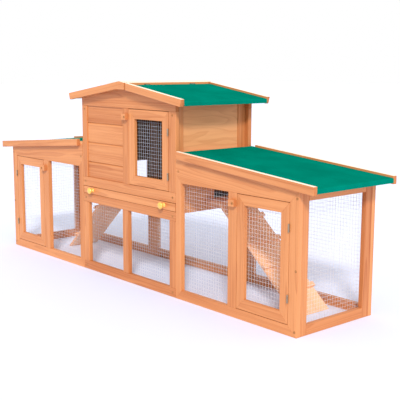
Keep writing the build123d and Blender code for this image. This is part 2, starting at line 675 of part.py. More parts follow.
def build():
    nodes = {}
    house_front(nodes)
    house_back(nodes)
    house_sides(nodes)
    gable_roof(nodes)
    fixed_leaves = house_door(nodes)
    fixed_leaves += roof_flap_hinges(nodes)
    drawer(nodes)

    right, right_cleats, right_leaves = run_nodes("right")
    nodes.update(right)
    left, left_cleats, left_leaves = run_nodes("left")
    for name, pieces in left.items():
        nodes[name] = mirrored(pieces)
    nodes["ramp_cleats"] = right_cleats + mirrored(left_cleats)
    nodes["fixed_hinge_leaves"] = fixed_leaves + right_leaves + mirrored(left_leaves)

    run_screws = latch_screw(RUN_MIDDLE_STILE[1], RUN_LATCH_Z)
    house_screw = latch_screw(HOUSE_DOOR_OPENING[0], HOUSE_LATCH_Z)
    nodes["latch_screws"] = run_screws + mirrored(run_screws) + house_screw
    nodes["panel_screws"] = screw_heads(panel_screw_places())
    return nodes


def main():
    os.makedirs("parts", exist_ok=True)
    for name, pieces in build().items():
        solids = [solid for piece in pieces for solid in piece.solids()]
        shape = Compound(children=solids) if len(solids) > 1 else solids[0]
        export_step(shape, f"parts/{name}.step")


main()
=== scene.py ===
import json
import math
import random

import bmesh
import bpy
from mathutils import Matrix, Vector, noise

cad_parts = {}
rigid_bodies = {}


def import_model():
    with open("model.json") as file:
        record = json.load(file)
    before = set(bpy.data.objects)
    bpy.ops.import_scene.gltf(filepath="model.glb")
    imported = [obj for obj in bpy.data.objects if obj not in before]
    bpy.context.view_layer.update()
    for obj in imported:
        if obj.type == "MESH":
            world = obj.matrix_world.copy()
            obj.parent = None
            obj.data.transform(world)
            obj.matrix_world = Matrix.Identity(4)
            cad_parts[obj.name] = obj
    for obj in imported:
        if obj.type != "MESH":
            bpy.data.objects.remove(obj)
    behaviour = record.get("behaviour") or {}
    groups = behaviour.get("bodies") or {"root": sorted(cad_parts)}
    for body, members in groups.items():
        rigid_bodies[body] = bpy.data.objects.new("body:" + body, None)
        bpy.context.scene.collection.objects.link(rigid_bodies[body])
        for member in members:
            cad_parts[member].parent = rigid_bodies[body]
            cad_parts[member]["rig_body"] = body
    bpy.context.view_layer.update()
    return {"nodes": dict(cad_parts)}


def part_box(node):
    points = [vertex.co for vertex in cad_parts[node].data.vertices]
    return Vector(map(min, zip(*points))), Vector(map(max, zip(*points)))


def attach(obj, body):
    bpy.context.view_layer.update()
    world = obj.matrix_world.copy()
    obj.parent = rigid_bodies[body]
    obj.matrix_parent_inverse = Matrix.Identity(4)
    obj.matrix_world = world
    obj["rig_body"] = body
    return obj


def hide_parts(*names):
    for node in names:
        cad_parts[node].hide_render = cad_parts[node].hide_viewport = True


# The looks of the rabbit hutch: stained pine boards, plywood, mineral felt, welded
# mesh, hinges, screws and knobs, each built on the place that the CAD node gives.
# Metres, in the frame of the CAD model.

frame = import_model()

MM = 0.001

# ---------------------------------------------------------------- driving values

# How far edges are rounded, with EDGE_VARIATION as the least and most share of that on a board.
BOARD_EDGE = 1.3 * MM
MITRED_EDGE = 0.6 * MM
PLYWOOD_EDGE = 0.7 * MM
LATCH_EDGE = 2.6 * MM
METAL_EDGE = 0.25 * MM
EDGE_VARIATION = (0.8, 1.25)
EDGE_SEGMENTS = 2
LATCH_SEGMENTS = 3

# Edges of a CAD solid that are bevelled, and faces that are merged into one.
SHARP_ANGLE = math.radians(25)
FLAT_ANGLE = math.radians(1)

# Edges that stay crisp on smooth-shaded pieces, by how far the surface turns.
SCREW_SHARP_ANGLE = math.radians(35)
KNOB_SHARP_ANGLE = math.radians(60)
FELT_SHARP_ANGLE = math.radians(50)
NORMAL_WEIGHT = 60

# Cosines between a face's normal and a direction: above the first two, the face looks that
# way or cuts across the grain; below the third, the grain lies in the face.
FACING = 0.7
END_GRAIN_FACING = 0.6
BROAD_FACE_FACING = 0.2

# Where a board is cut from its tree, in metres: along the trunk, and from the pith.
TRUNK_LENGTH = 40
PITH_SIDEWAYS = 0.02
PITH_DEPTH = (0.018, 0.07)

# The darkest tone that the boards of a node may draw, from 0 to 1.
FRAME_TONE = 0.9
EVEN_TONE = 0.4
# The ramps draw lighter tones: painted light that offsets the shade they sit in.
RAMP_TONE = 0.3
LATCH_TONE = 0.1

# Growth rings: their width, and how many rings a slow drift, a fine waver and a knot move them.
RING_WIDTH = 3.4 * MM
RING_DRIFT = 4.2
RING_WAVER = 0.5
RING_BEND = 2.4

# Cells per metre along and across the trunk. A cell that draws a number above KNOT_DRAW holds
# a knot. KNOT_EDGE and KNOT_REACH say, in cells, where the knot's colour and its pull on the
# rings start to fade and end.
KNOT_CELLS = (6.5, 11.0, 11.0)
KNOT_DRAW = (0.94, 0.95)
KNOT_EDGE = (0.07, 0.10)
KNOT_REACH = (0.05, 0.32)

PLY_THICK = 3.2 * MM
PLY_RINGS = 13.0
# How far faces that look into the cabin are darkened as painted shade.
CABIN_PAINTED_SHADE = 0.75
WOOD_SPECULAR = 0.35
NOISE_ROUGHNESS = 0.55

# The level wires lie WELD_SPACING radii further in than the upright ones: at 2 they would
# only touch, and a weld sinks them a little.
WIRE_PITCH = 13.8 * MM
WIRE_RADIUS = 0.36 * MM
WIRE_SIDES = 6
WIRE_STEPS = 5
WIRE_BOW = 0.35 * MM
WIRE_SPREAD = 0.2 * MM
WIRE_TRIM = 2 * MM
WELD_SPACING = 1.75

# The sides of a tube are set out from the z axis, or from the x axis where it rises more
# steeply than this share of its length.
STEEP = 0.8

# A staple's corners: offset along it and height over the wood, as shares of half its width
# and of its rise.
STAPLE_CORNERS = [(-1, -0.8), (-1, 0.6), (-0.82, 1), (0.82, 1), (1, 0.6), (1, -0.8)]
STAPLE_PITCH = 75 * MM
STAPLE_WIDTH = 9 * MM
STAPLE_RADIUS = 0.6 * MM
STAPLE_INSET = 7 * MM
STAPLE_DRIFT_ALONG = 6 * MM
STAPLE_DRIFT_ACROSS = 2 * MM
STAPLE_SIDES = 6

FELT_THICK = 2 * MM
FELT_FOLD_RADIUS = 5 * MM
FELT_FOLD_STEPS = 6
FELT_GRID = 12 * MM
END_TOLERANCE = 0.1 * MM

# The felt's waves: their height, how many there are in a metre, and how far the sheet lies
# below the CAD surface, as a share of the height.
FELT_WAVE = 0.45 * MM
FELT_BROAD_WAVES = 11
FELT_FINE_WAVES = 31
FELT_SUNK = 0.8
NOISE_SPAN = 50

SCREW_HEAD_RADIUS = 4.5 * MM
SCREW_SEGMENTS = 32
SCREW_DOME_RINGS = 8
SCREW_SUNK = 0.3 * MM
PIVOT_SHANK_RADIUS = 2 * MM
PIVOT_SHANK_SEGMENTS = 16
PIVOT_HEAD_HEIGHT = 2 * MM
KNOB_SEGMENTS = 48
KNOB_NECK_RINGS = 5
KNOB_HEAD_RINGS = 14
KNOB_HEAD_ANGLES = (-math.pi * 0.36, math.pi * 0.47)
KNOB_TIP = 0.03
KNOB_BULGE = 0.8

# Screws and knobs point to the front of the hutch.
FORWARDS = (0, -1, 0)

CAMERA_PLACE = (2.6945, -2.1506, 0.8926)
CAMERA_YAW = math.radians(48.893)
CAMERA_DOWN = math.radians(9.362)
CAMERA_ROLL = math.radians(0.224)
CAMERA_LENS = 73.70
SENSOR_WIDTH = 36
CLIP_START = 0.05
CLIP_END = 100
AMBIENT = 0.85
BACKGROUND = 1.0
FLOOR_HALF = 30.0
WARM_WHITE = (1.0, 0.97, 0.93)
SOFT_WHITE = (1.0, 0.97, 0.95)

PINE_NODES = [
    "drawer_front", "gable_boards", "house_back_cladding", "house_back_frame",
    "house_door_frame", "house_front_cladding", "house_front_lower_frame",
    "house_front_upper_frame", "house_side_stiles", "ridge_beam", "tray_runners",
]
SIDE_PINE_NODES = [
    "bargeboards", "door_frame", "run_back_frame", "run_end_frame",
    "run_fascias", "run_front_frame",
]
PLYWOOD_NODES = [
    "house_left_side_panel", "house_right_side_panel", "left_roof_board", "right_roof_board",
    "left_run_roof_board", "right_run_roof_board",
]
# The walls of the cabin whose inner faces get painted shade, each with the direction that its inner
# face looks in.
CABIN_INWARD = {
    "house_left_side_panel": Vector((1, 0, 0)),
    "house_right_side_panel": Vector((-1, 0, 0)),
    "house_back_cladding": Vector((0, -1, 0)),
}
MITRED_NODES = [
    "house_door_frame", "left_door_frame", "right_door_frame", "left_run_front_frame",
    "right_run_front_frame", "left_run_back_frame", "right_run_back_frame",
]
RAMP_NODES = ["left_ramp_board", "right_ramp_board", "ramp_cleats"]
LEVEL_GRAIN_NODES = ["house_left_side_panel", "house_right_side_panel"]
# Nodes whose top faces get a painted highlight: a near-white colour where light from above falls.
PAINTED_HIGHLIGHT_NODES = [
    "left_bargeboards", "right_bargeboards", "left_run_fascias", "right_run_fascias", "ridge_beam",
]
LATCH_NODES = ["house_latch", "left_latch", "right_latch"]
FELT_NODES = ["left_roof_felt", "right_roof_felt", "left_run_roof_felt", "right_run_roof_felt"]
MESH_NODES = ["house_front_lower_mesh", "house_back_mesh", "house_door_mesh"]
SIDE_MESH_NODES = ["door_mesh", "run_front_mesh", "run_back_mesh", "run_end_mesh"]
HINGE_NODES = [
    "fixed_hinge_leaves", "house_door_hinge_leaves", "left_door_hinge_leaves",
    "right_door_hinge_leaves", "right_roof_hinge_leaves",
]


def both_sides(names):
    """Each name once for the left and once for the right of the hutch."""
    return [side + name for name in names for side in ("left_", "right_")]


# ---------------------------------------------------------------- camera, light and floor

def make_camera():
    """A camera to the right and in front of the hutch, a little higher than its roof."""
    data = bpy.data.cameras.new("camera")
    data.lens = CAMERA_LENS
    data.sensor_width = SENSOR_WIDTH
    data.clip_start = CLIP_START
    data.clip_end = CLIP_END
    camera = bpy.data.objects.new("camera", data)
    bpy.context.scene.collection.objects.link(camera)
    turn = Matrix.Rotation(CAMERA_YAW, 4, "Z")
    tilt = Matrix.Rotation(math.pi / 2 - CAMERA_DOWN, 4, "X")
    roll = Matrix.Rotation(CAMERA_ROLL, 4, "Z")
    camera.matrix_world = Matrix.Translation(CAMERA_PLACE) @ turn @ tilt @ roll
    bpy.context.scene.camera = camera


def make_sun(name, towards, strength, angle, color):
    """A far lamp that shines towards a direction; angle is its size in degrees."""
    data = bpy.data.lights.new(name, "SUN")
    data.energy = strength
    data.angle = math.radians(angle)
    data.color = color
    lamp = bpy.data.objects.new(name, data)
    lamp.rotation_mode = "QUATERNION"
    lamp.rotation_quaternion = Vector(towards).to_track_quat("-Z", "Y")
    bpy.context.scene.collection.objects.link(lamp)


def make_world():
    """Even light from all round, with a white backdrop where the camera looks past the floor."""
    scene = bpy.context.scene
    scene.view_settings.view_transform = "Standard"
    scene.view_settings.look = "None"
    world = bpy.data.worlds.new("studio")
    world.use_nodes = True
    nodes = world.node_tree.nodes
    background = nodes["Background"]
    background.inputs["Color"].default_value = (1.0, 1.0, 1.0, 1)
    strength = nodes.new("ShaderNodeMapRange")
    strength.inputs["To Min"].default_value = AMBIENT
    strength.inputs["To Max"].default_value = BACKGROUND
    seen = nodes.new("ShaderNodeLightPath")
    world.node_tree.links.new(seen.outputs["Is Camera Ray"], strength.inputs["Value"])
    world.node_tree.links.new(strength.outputs["Result"], background.inputs["Strength"])
    scene.world = world


def make_studio():
    """Plain soft light and a plain pale floor."""
    make_world()
    make_sun("key", towards=(-0.7, 0.62, -0.68), strength=2.6, angle=9, color=WARM_WHITE)
    make_sun("side_fill", towards=(-1.0, 0.25, -0.45), strength=0.35, angle=40, color=SOFT_WHITE)

    floor_mesh = bpy.data.meshes.new("floor")
    half = FLOOR_HALF
    floor_mesh.from_pydata([(-half, -half, 0), (half, -half, 0), (half, half, 0), (-half, half, 0)],
                           [], [(0, 1, 2, 3)])
    floor = bpy.data.objects.new("floor", floor_mesh)
    bpy.context.scene.collection.objects.link(floor)
    floor.data.materials.append(floor_material())


# ---------------------------------------------------------------- node helpers

class Shader:
    """A material under construction, with short calls for the nodes that it uses."""

    def __init__(self, name):
        self.material = bpy.data.materials.new(name)
        self.material.use_nodes = True
        self.tree = self.material.node_tree
        self.surface = self.tree.nodes["Principled BSDF"]

    def node(self, kind, **settings):
        made = self.tree.nodes.new(kind)
        for key, value in settings.items():
            setattr(made, key, value)
        return made

    def feed(self, socket, value):
        """Links an output to a socket, or sets the socket to a plain value."""
        if isinstance(value, bpy.types.NodeSocket):
            self.tree.links.new(value, socket)
        else:
            socket.default_value = value

    def attribute(self, name, output="Fac"):
        return self.node("ShaderNodeAttribute", attribute_name=name).outputs[output]

    def coordinates(self):
        return self.node("ShaderNodeTexCoord").outputs["Object"]

    def math(self, operation, a, b=0.0, c=0.0, clamp=False):
        made = self.node("ShaderNodeMath", operation=operation, use_clamp=clamp)
        for socket, value in zip(made.inputs, (a, b, c)):
            self.feed(socket, value)
        return made.outputs[0]

    def stretch(self, vector, scale):
        made = self.node("ShaderNodeVectorMath", operation="MULTIPLY")
        self.feed(made.inputs[0], vector)
        made.inputs[1].default_value = scale
        return made.outputs[0]

    def noise(self, vector, scale=1.0, detail=3.0):
        """Soft noise; scale is its features per metre, where the vector is in metres."""
        made = self.node("ShaderNodeTexNoise")
        self.feed(made.inputs["Vector"], vector)
        made.inputs["Scale"].default_value = scale
        made.inputs["Detail"].default_value = detail
        made.inputs["Roughness"].default_value = NOISE_ROUGHNESS
        return made.outputs["Fac"]

    def voronoi(self, vector, scale=1.0, output="Distance"):
        made = self.node("ShaderNodeTexVoronoi")
        self.feed(made.inputs["Vector"], vector)
        made.inputs["Scale"].default_value = scale
        return made.outputs[output]

    def remap(self, value, low, high, to_low=0.0, to_high=1.0, smooth=False):
        """The range low to high of a value, mapped to to_low to to_high and held there."""
        made = self.node("ShaderNodeMapRange", clamp=True)
        made.interpolation_type = "SMOOTHSTEP" if smooth else "LINEAR"
        self.feed(made.inputs["Value"], value)
        limits = {"From Min": low, "From Max": high, "To Min": to_low, "To Max": to_high}
        for name, number in limits.items():
            made.inputs[name].default_value = number
        return made.outputs["Result"]

    def add_range(self, total, value, low, high, to_low, to_high, clamp=False):
        """A total plus a value that is mapped from one range to another."""
        return self.math("ADD", total, self.remap(value, low, high, to_low, to_high), clamp=clamp)

    def growth_ring(self, phase, sharpness):
        """From 0 in a ring's early wood up to 1, and back abruptly where the next ring starts."""
        part = self.math("FRACT", phase)
        rise = self.math("POWER", part, sharpness)
        return self.math("MULTIPLY", rise, self.remap(part, 0.9, 1.0, 1.0, 0.0))

    def split_vector(self, vector):
        made = self.node("ShaderNodeSeparateXYZ")
        self.feed(made.inputs[0], vector)
        return made.outputs

    def split_color(self, color):
        made = self.node("ShaderNodeSeparateColor")
        self.feed(made.inputs[0], color)
        return made.outputs

    def mix(self, share, a, b):
        """A colour between a and b; sockets 6, 7 and 2 are the mix node's colour sockets."""
        made = self.node("ShaderNodeMix", data_type="RGBA", clamp_factor=True)
        self.feed(made.inputs["Factor"], share)
        self.feed(made.inputs[6], a)
        self.feed(made.inputs[7], b)
        return made.outputs[2]

    def bump(self, height, distance, strength):
        """Relief for the surface: distance is how deep a height of 1 is, in metres."""
        made = self.node("ShaderNodeBump")
        self.feed(made.inputs["Height"], height)
        made.inputs["Distance"].default_value = distance
        made.inputs["Strength"].default_value = strength
        self.feed(self.surface.inputs["Normal"], made.outputs["Normal"])

    def set(self, **values):
        """Feeds the surface's inputs, by name with _ for each space."""
        for key, value in values.items():
            self.feed(self.surface.inputs[key.replace("_", " ")], value)


def srgb(red, green, blue):
    """A display colour, 0 to 255, as the linear colour that a shader takes."""
    def linear(value):
        value = value / 255
        return value / 12.92 if value <= 0.04045 else ((value + 0.055) / 1.055) ** 2.4
    return (linear(red), linear(green), linear(blue), 1.0)


FLOOR_WHITE = srgb(225, 232, 255)

PINE_LIGHT = srgb(218, 146, 91)
PINE_DARK = srgb(166, 86, 36)
# Colour of knots, which is also the painted shade on the cabin's inner pine faces.
PINE_KNOT_AND_PAINTED_SHADE = srgb(110, 58, 28)
# Lighter colour of rounded edges: partly wear, partly painted highlight.
PINE_WEAR_AND_HIGHLIGHT = srgb(232, 170, 118)
# Near-white painted highlight for the top faces of some nodes.
PINE_PAINTED_HIGHLIGHT = srgb(255, 240, 220)

# Ramp colours, lighter than the pine as painted light that offsets the shade the ramps sit in.
RAMP_LIGHT = srgb(250, 196, 154)
RAMP_DARK = srgb(216, 148, 104)
RAMP_KNOT = srgb(126, 70, 38)
# Lighter colour of the ramps' rounded edges: partly wear, partly painted highlight.
RAMP_WEAR_AND_HIGHLIGHT = srgb(240, 196, 158)

PLYWOOD_LIGHT = srgb(228, 162, 110)
PLYWOOD_DARK = srgb(190, 120, 70)
# Lighter colour of the plywood's rounded edges: partly wear, partly painted highlight.
PLYWOOD_WEAR_AND_HIGHLIGHT = srgb(220, 172, 130)
# Painted shade colour for the plywood's inner faces in the cabin.
PLYWOOD_PAINTED_SHADE = srgb(72, 38, 24)
PLY_LIGHT = srgb(190, 132, 90)
PLY_DARK = srgb(120, 72, 42)

FELT_SHADE = srgb(0, 108, 90)
FELT_GREEN = srgb(0, 134, 114)

WIRE_BRIGHT = srgb(236, 236, 240)
WIRE_DULL = srgb(208, 208, 214)
HINGE_BRIGHT = srgb(182, 164, 142)
HINGE_DULL = srgb(132, 116, 98)
SCREW_BRIGHT = srgb(196, 140, 84)
SCREW_DULL = srgb(140, 92, 52)
TRAY_BRIGHT = srgb(166, 168, 172)
TRAY_DULL = srgb(124, 126, 130)

KNOB_YELLOW = srgb(250, 200, 100)
KNOB_AMBER = srgb(222, 152, 50)


# ---------------------------------------------------------------- materials

def floor_material():
    """A pale matt floor with faint spots in its gloss."""
    shader = Shader("floor")
    spots = shader.noise(shader.coordinates(), scale=3.0)
    shader.set(Base_Color=FLOOR_WHITE, Roughness=shader.remap(spots, 0.3, 0.7, 0.75, 0.9))
    return shader.material


def pine_material(name, light, dark, knot_and_shade_color, wear_and_highlight_color):
    """Stained and varnished softwood.

    The "grain" attribute is a place in the tree: x runs along the trunk and the pith is at y = z =
    0, so the growth rings are cylinders about x. Painted highlights go on top faces and, with wear,
    on rounded edges; painted shade goes on faces that look into the cabin.
    """
    shader = Shader(name)
    grain = shader.attribute("grain", "Vector")
    tone = shader.attribute("tone")
    wear_and_highlight = shader.attribute("wear_and_highlight")
    end_grain = shader.attribute("end_grain")
    painted_highlight = shader.attribute("painted_highlight")
    cabin_painted_shade = shader.attribute("cabin_painted_shade")

    # A few of the cells hold a knot, and the rings bend round it.
    knot_cells = shader.stretch(grain, KNOT_CELLS)
    knot_distance = shader.voronoi(knot_cells)
    cell_draw = shader.split_color(shader.voronoi(knot_cells, output="Color"))[0]
    picked = shader.remap(cell_draw, *KNOT_DRAW)
    near = shader.remap(knot_distance, *KNOT_EDGE, 1.0, 0.0, smooth=True)
    around = shader.remap(knot_distance, *KNOT_REACH, 1.0, 0.0, smooth=True)
    knot = shader.math("MULTIPLY", picked, near)
    flow = shader.math("MULTIPLY", picked, around)

    # The rings are counted from the pith. Each stretch below gives how many features of the
    # noise there are in a metre along, across and through the board.
    sideways, depth = shader.split_vector(grain)[1:3]
    squared = shader.math("MULTIPLY", sideways, sideways)
    radius = shader.math("SQRT", shader.math("MULTIPLY_ADD", depth, depth, squared))
    drift = shader.noise(shader.stretch(grain, (1.6, 9.0, 9.0)), detail=2.0)
    waver = shader.noise(shader.stretch(grain, (7.0, 60.0, 60.0)), detail=2.0)
    phase = shader.math("DIVIDE", radius, RING_WIDTH)
    phase = shader.math("MULTIPLY_ADD", drift, RING_DRIFT, phase)
    phase = shader.math("MULTIPLY_ADD", waver, RING_WAVER, phase)
    phase = shader.math("MULTIPLY_ADD", flow, RING_BEND, phase)
    ring = shader.growth_ring(phase, sharpness=2.6)

    fibre = shader.noise(shader.stretch(grain, (14.0, 900.0, 900.0)), detail=2.0)
    streak = shader.noise(shader.stretch(grain, (1.2, 55.0, 55.0)), detail=3.0)
    patch = shader.noise(shader.stretch(grain, (2.2, 14.0, 14.0)), detail=2.0)

    # The share of the dark colour, and over it knots, end grain, edges lighter from wear and
    # painted highlight, painted highlights on top faces and painted shade in the cabin.
    share = shader.math("MULTIPLY", ring, 0.40)
    share = shader.add_range(share, streak, 0.35, 0.75, 0.0, 0.34)
    share = shader.add_range(share, fibre, 0.3, 0.75, -0.05, 0.14)
    share = shader.add_range(share, patch, 0.3, 0.7, -0.08, 0.16)
    share = shader.add_range(share, tone, 0.0, 1.0, -0.15, 0.35)
    share = shader.math("ADD", share, shader.math("MULTIPLY", flow, 0.16), clamp=True)
    color = shader.mix(share, light, dark)
    color = shader.mix(shader.math("MULTIPLY", knot, 0.6), color, knot_and_shade_color)
    color = shader.mix(shader.math("MULTIPLY", end_grain, 0.38), color, dark)
    # Rounded edges lightened in patches: partly wear, partly painted highlight.
    wear_and_highlight_share = shader.math("MULTIPLY", wear_and_highlight, shader.remap(patch, 0.35, 0.65, 0.12, 0.5))
    color = shader.mix(wear_and_highlight_share, color, wear_and_highlight_color)
    # Painted highlight: top faces lightened towards near-white, as if lit from above.
    top_highlight_share = shader.math("MULTIPLY", painted_highlight, shader.remap(streak, 0.3, 0.7, 1.0, 0.8))
    color = shader.mix(top_highlight_share, color, PINE_PAINTED_HIGHLIGHT)
    # Painted shade on faces that look into the cabin.
    color = shader.mix(shader.math("MULTIPLY", cabin_painted_shade, CABIN_PAINTED_SHADE), color, knot_and_shade_color)

    rough = shader.remap(streak, 0.3, 0.7, 0.40, 0.52)
    rough = shader.math("MULTIPLY_ADD", ring, -0.06, rough)
    rough = shader.math("MULTIPLY_ADD", end_grain, 0.2, rough)
    shader.set(Base_Color=color, Roughness=rough, Specular_IOR_Level=WOOD_SPECULAR)
    height = shader.math("MULTIPLY_ADD", ring, -0.6, shader.math("MULTIPLY", fibre, 0.5))
    height = shader.math("MULTIPLY_ADD", knot, -0.5, height)
    shader.bump(height, 0.25 * MM, 0.6)
    return shader.material


def plywood_material():
    """Rotary-cut veneer faces, and plies that show as stripes on the cut edges."""
    shader = Shader("plywood")
    grain = shader.attribute("grain", "Vector")
    tone = shader.attribute("tone")
    wear_and_highlight = shader.attribute("wear_and_highlight")
    cut = shader.attribute("end_grain")
    drift = shader.noise(shader.stretch(grain, (1.3, 7.0, 7.0)), detail=3.0)
    ring = shader.growth_ring(shader.math("MULTIPLY", drift, PLY_RINGS), sharpness=2.2)
    fibre = shader.noise(shader.stretch(grain, (16.0, 800.0, 800.0)), detail=2.0)
    streak = shader.noise(shader.stretch(grain, (1.5, 40.0, 40.0)), detail=3.0)
    share = shader.math("MULTIPLY", ring, 0.34)
    share = shader.add_range(share, streak, 0.35, 0.75, 0.0, 0.3)
    share = shader.add_range(share, fibre, 0.3, 0.75, -0.05, 0.12)
    share = shader.add_range(share, tone, 0.0, 1.0, -0.1, 0.18, clamp=True)
    color = shader.mix(share, PLYWOOD_LIGHT, PLYWOOD_DARK)
    depth = shader.split_vector(grain)[2]
    ply = shader.math("FRACT", shader.math("DIVIDE", depth, PLY_THICK))
    stripe = shader.remap(ply, 0.45, 0.55)
    edge_color = shader.mix(stripe, PLY_LIGHT, PLY_DARK)
    color = shader.mix(shader.math("MULTIPLY", cut, 0.8), color, edge_color)
    # Rounded edges lightened: partly wear, partly painted highlight.
    color = shader.mix(shader.math("MULTIPLY", wear_and_highlight, 0.3), color, PLYWOOD_WEAR_AND_HIGHLIGHT)
    # Painted shade on faces that look into the cabin.
    cabin_painted_shade = shader.math("MULTIPLY", shader.attribute("cabin_painted_shade"), CABIN_PAINTED_SHADE)
    color = shader.mix(cabin_painted_shade, color, PLYWOOD_PAINTED_SHADE)
    rough = shader.remap(streak, 0.3, 0.7, 0.42, 0.56)
    shader.set(Base_Color=color, Roughness=rough, Specular_IOR_Level=WOOD_SPECULAR)
    height = shader.math("MULTIPLY_ADD", ring, -0.5, shader.math("MULTIPLY", fibre, 0.5))
    shader.bump(height, 0.2 * MM, 0.6)
    return shader.material


def felt_material():
    """Green mineral-surfaced roofing felt: coarse granules on a mottled sheet."""
    shader = Shader("green_felt")
    place = shader.coordinates()
    grains = shader.voronoi(place, scale=620.0)
    specks = shader.noise(place, scale=900.0, detail=2.0)
    clouds = shader.noise(place, scale=9.0, detail=4.0)
    rolls = shader.noise(shader.stretch(place, (2.0, 26.0, 2.0)), detail=2.0)
    share = shader.remap(clouds, 0.3, 0.7, 0.15, 0.6)
    share = shader.add_range(share, specks, 0.35, 0.65, -0.25, 0.3)
    share = shader.add_range(share, rolls, 0.3, 0.7, -0.08, 0.08, clamp=True)
    rough = shader.remap(specks, 0.3, 0.7, 0.9, 1.0)
    shader.set(Base_Color=shader.mix(share, FELT_SHADE, FELT_GREEN), Roughness=rough,
               Specular_IOR_Level=0.0)
    height = shader.math("MULTIPLY_ADD", grains, -1.0, shader.math("MULTIPLY", specks, 0.8))
    shader.bump(height, 0.6 * MM, 0.8)
    return shader.material


def metal_material(name, bright, dull, metallic, scratch_scale, spangle_scale):
    """Zinc-coated steel: crystals of unlike brightness, dull spots and fine scratches."""
    shader = Shader(name)
    place = shader.coordinates()
    spangle = shader.split_color(shader.voronoi(place, scale=spangle_scale, output="Color"))
    clouds = shader.noise(place, scale=45.0, detail=4.0)
    brushed = shader.stretch(place, (scratch_scale, scratch_scale, 40.0))
    scratches = shader.noise(brushed, detail=2.0)
    share = shader.remap(clouds, 0.35, 0.7, 0.0, 0.55)
    share = shader.math("MULTIPLY_ADD", spangle[0], 0.3, share, clamp=True)
    rough = shader.remap(clouds, 0.3, 0.7, 0.28, 0.46)
    rough = shader.math("MULTIPLY_ADD", spangle[1], 0.14, rough)
    shader.set(Base_Color=shader.mix(share, bright, dull), Metallic=metallic, Roughness=rough)
    shader.bump(scratches, 0.05 * MM, 0.5)
    return shader.material


def knob_material():
    """Turned wood under thick gold-yellow lacquer."""
    shader = Shader("knob_gold")
    place = shader.coordinates()
    rings = shader.noise(shader.stretch(place, (60.0, 900.0, 60.0)), detail=2.0)
    clouds = shader.noise(place, scale=70.0, detail=3.0)
    share = shader.remap(clouds, 0.3, 0.7, 0.0, 0.5)
    share = shader.add_range(share, rings, 0.4, 0.7, 0.0, 0.25)
    rough = shader.remap(clouds, 0.3, 0.7, 0.2, 0.34)
    shader.set(Base_Color=shader.mix(share, KNOB_YELLOW, KNOB_AMBER), Roughness=rough,
               Coat_Weight=0.5, Coat_Roughness=0.12)
    shader.bump(rings, 0.08 * MM, 0.4)
    return shader.material


# ---------------------------------------------------------------- boards from the CAD solids

def closed_shells(node):
    """The separate solids of a CAD node: for each, its corner points and its triangles.

    The node's triangles come solid by solid, so a solid ends where every edge so far
    has been met from both sides.
    """
    mesh = frame["nodes"][node].data
    shells = []
    points, faces, open_edges = {}, [], set()
    for polygon in mesh.polygons:
        corners = []
        for index in polygon.vertices:
            place = tuple(round(value, 6) for value in mesh.vertices[index].co)
            corners.append(points.setdefault(place, len(points)))
        if len(set(corners)) < len(corners):
            continue
        faces.append(corners)
        for start, end in zip(corners, corners[1:] + corners[:1]):
            open_edges ^= {frozenset((start, end))}
        if not open_edges:
            shells.append((list(points), faces))
            points, faces = {}, []
    if faces:
        raise ValueError(f"{node} has a solid that isn't closed")
    return shells


def solid_from(shell):
    """A bmesh of one CAD solid, its flat faces merged."""
    points, faces = shell
    solid = bmesh.new()
    corners = [solid.verts.new(point) for point in points]
    for face in faces:
        solid.faces.new([corners[index] for index in face])
    bmesh.ops.recalc_face_normals(solid, faces=solid.faces)
    bmesh.ops.dissolve_limit(solid, angle_limit=FLAT_ANGLE, verts=solid.verts, edges=solid.edges)
    return solid


def board_axes(solid, level):
    """Directions along, across and through a board.

    The grain runs along the longest edge, or front to back where level is true.
    """
    longest = max(solid.edges, key=lambda edge: edge.calc_length())
    along = (longest.verts[1].co - longest.verts[0].co).normalized()
    if level:
        along = Vector((0, 1, 0))
    if max(along, key=abs) < 0:
        along = -along
    sides = [face for face in solid.faces if abs(face.normal.dot(along)) < BROAD_FACE_FACING]
    broad = max(sides, key=lambda face: face.calc_area())
    through = (broad.normal - along * broad.normal.dot(along)).normalized()
    return along, through.cross(along), through


def bevel_solid(solid, width, segments):
    """Rounds a solid's sharp edges; returns the faces that the rounding made."""
    sharp = []
    for edge in solid.edges:
        if edge.is_manifold and edge.calc_face_angle() > SHARP_ANGLE:
            sharp.append(edge)
    made = bmesh.ops.bevel(solid, geom=sharp, offset=width, offset_type="OFFSET", segments=segments,
                           profile=0.5, affect="EDGES", clamp_overlap=True)
    return set(made["faces"])


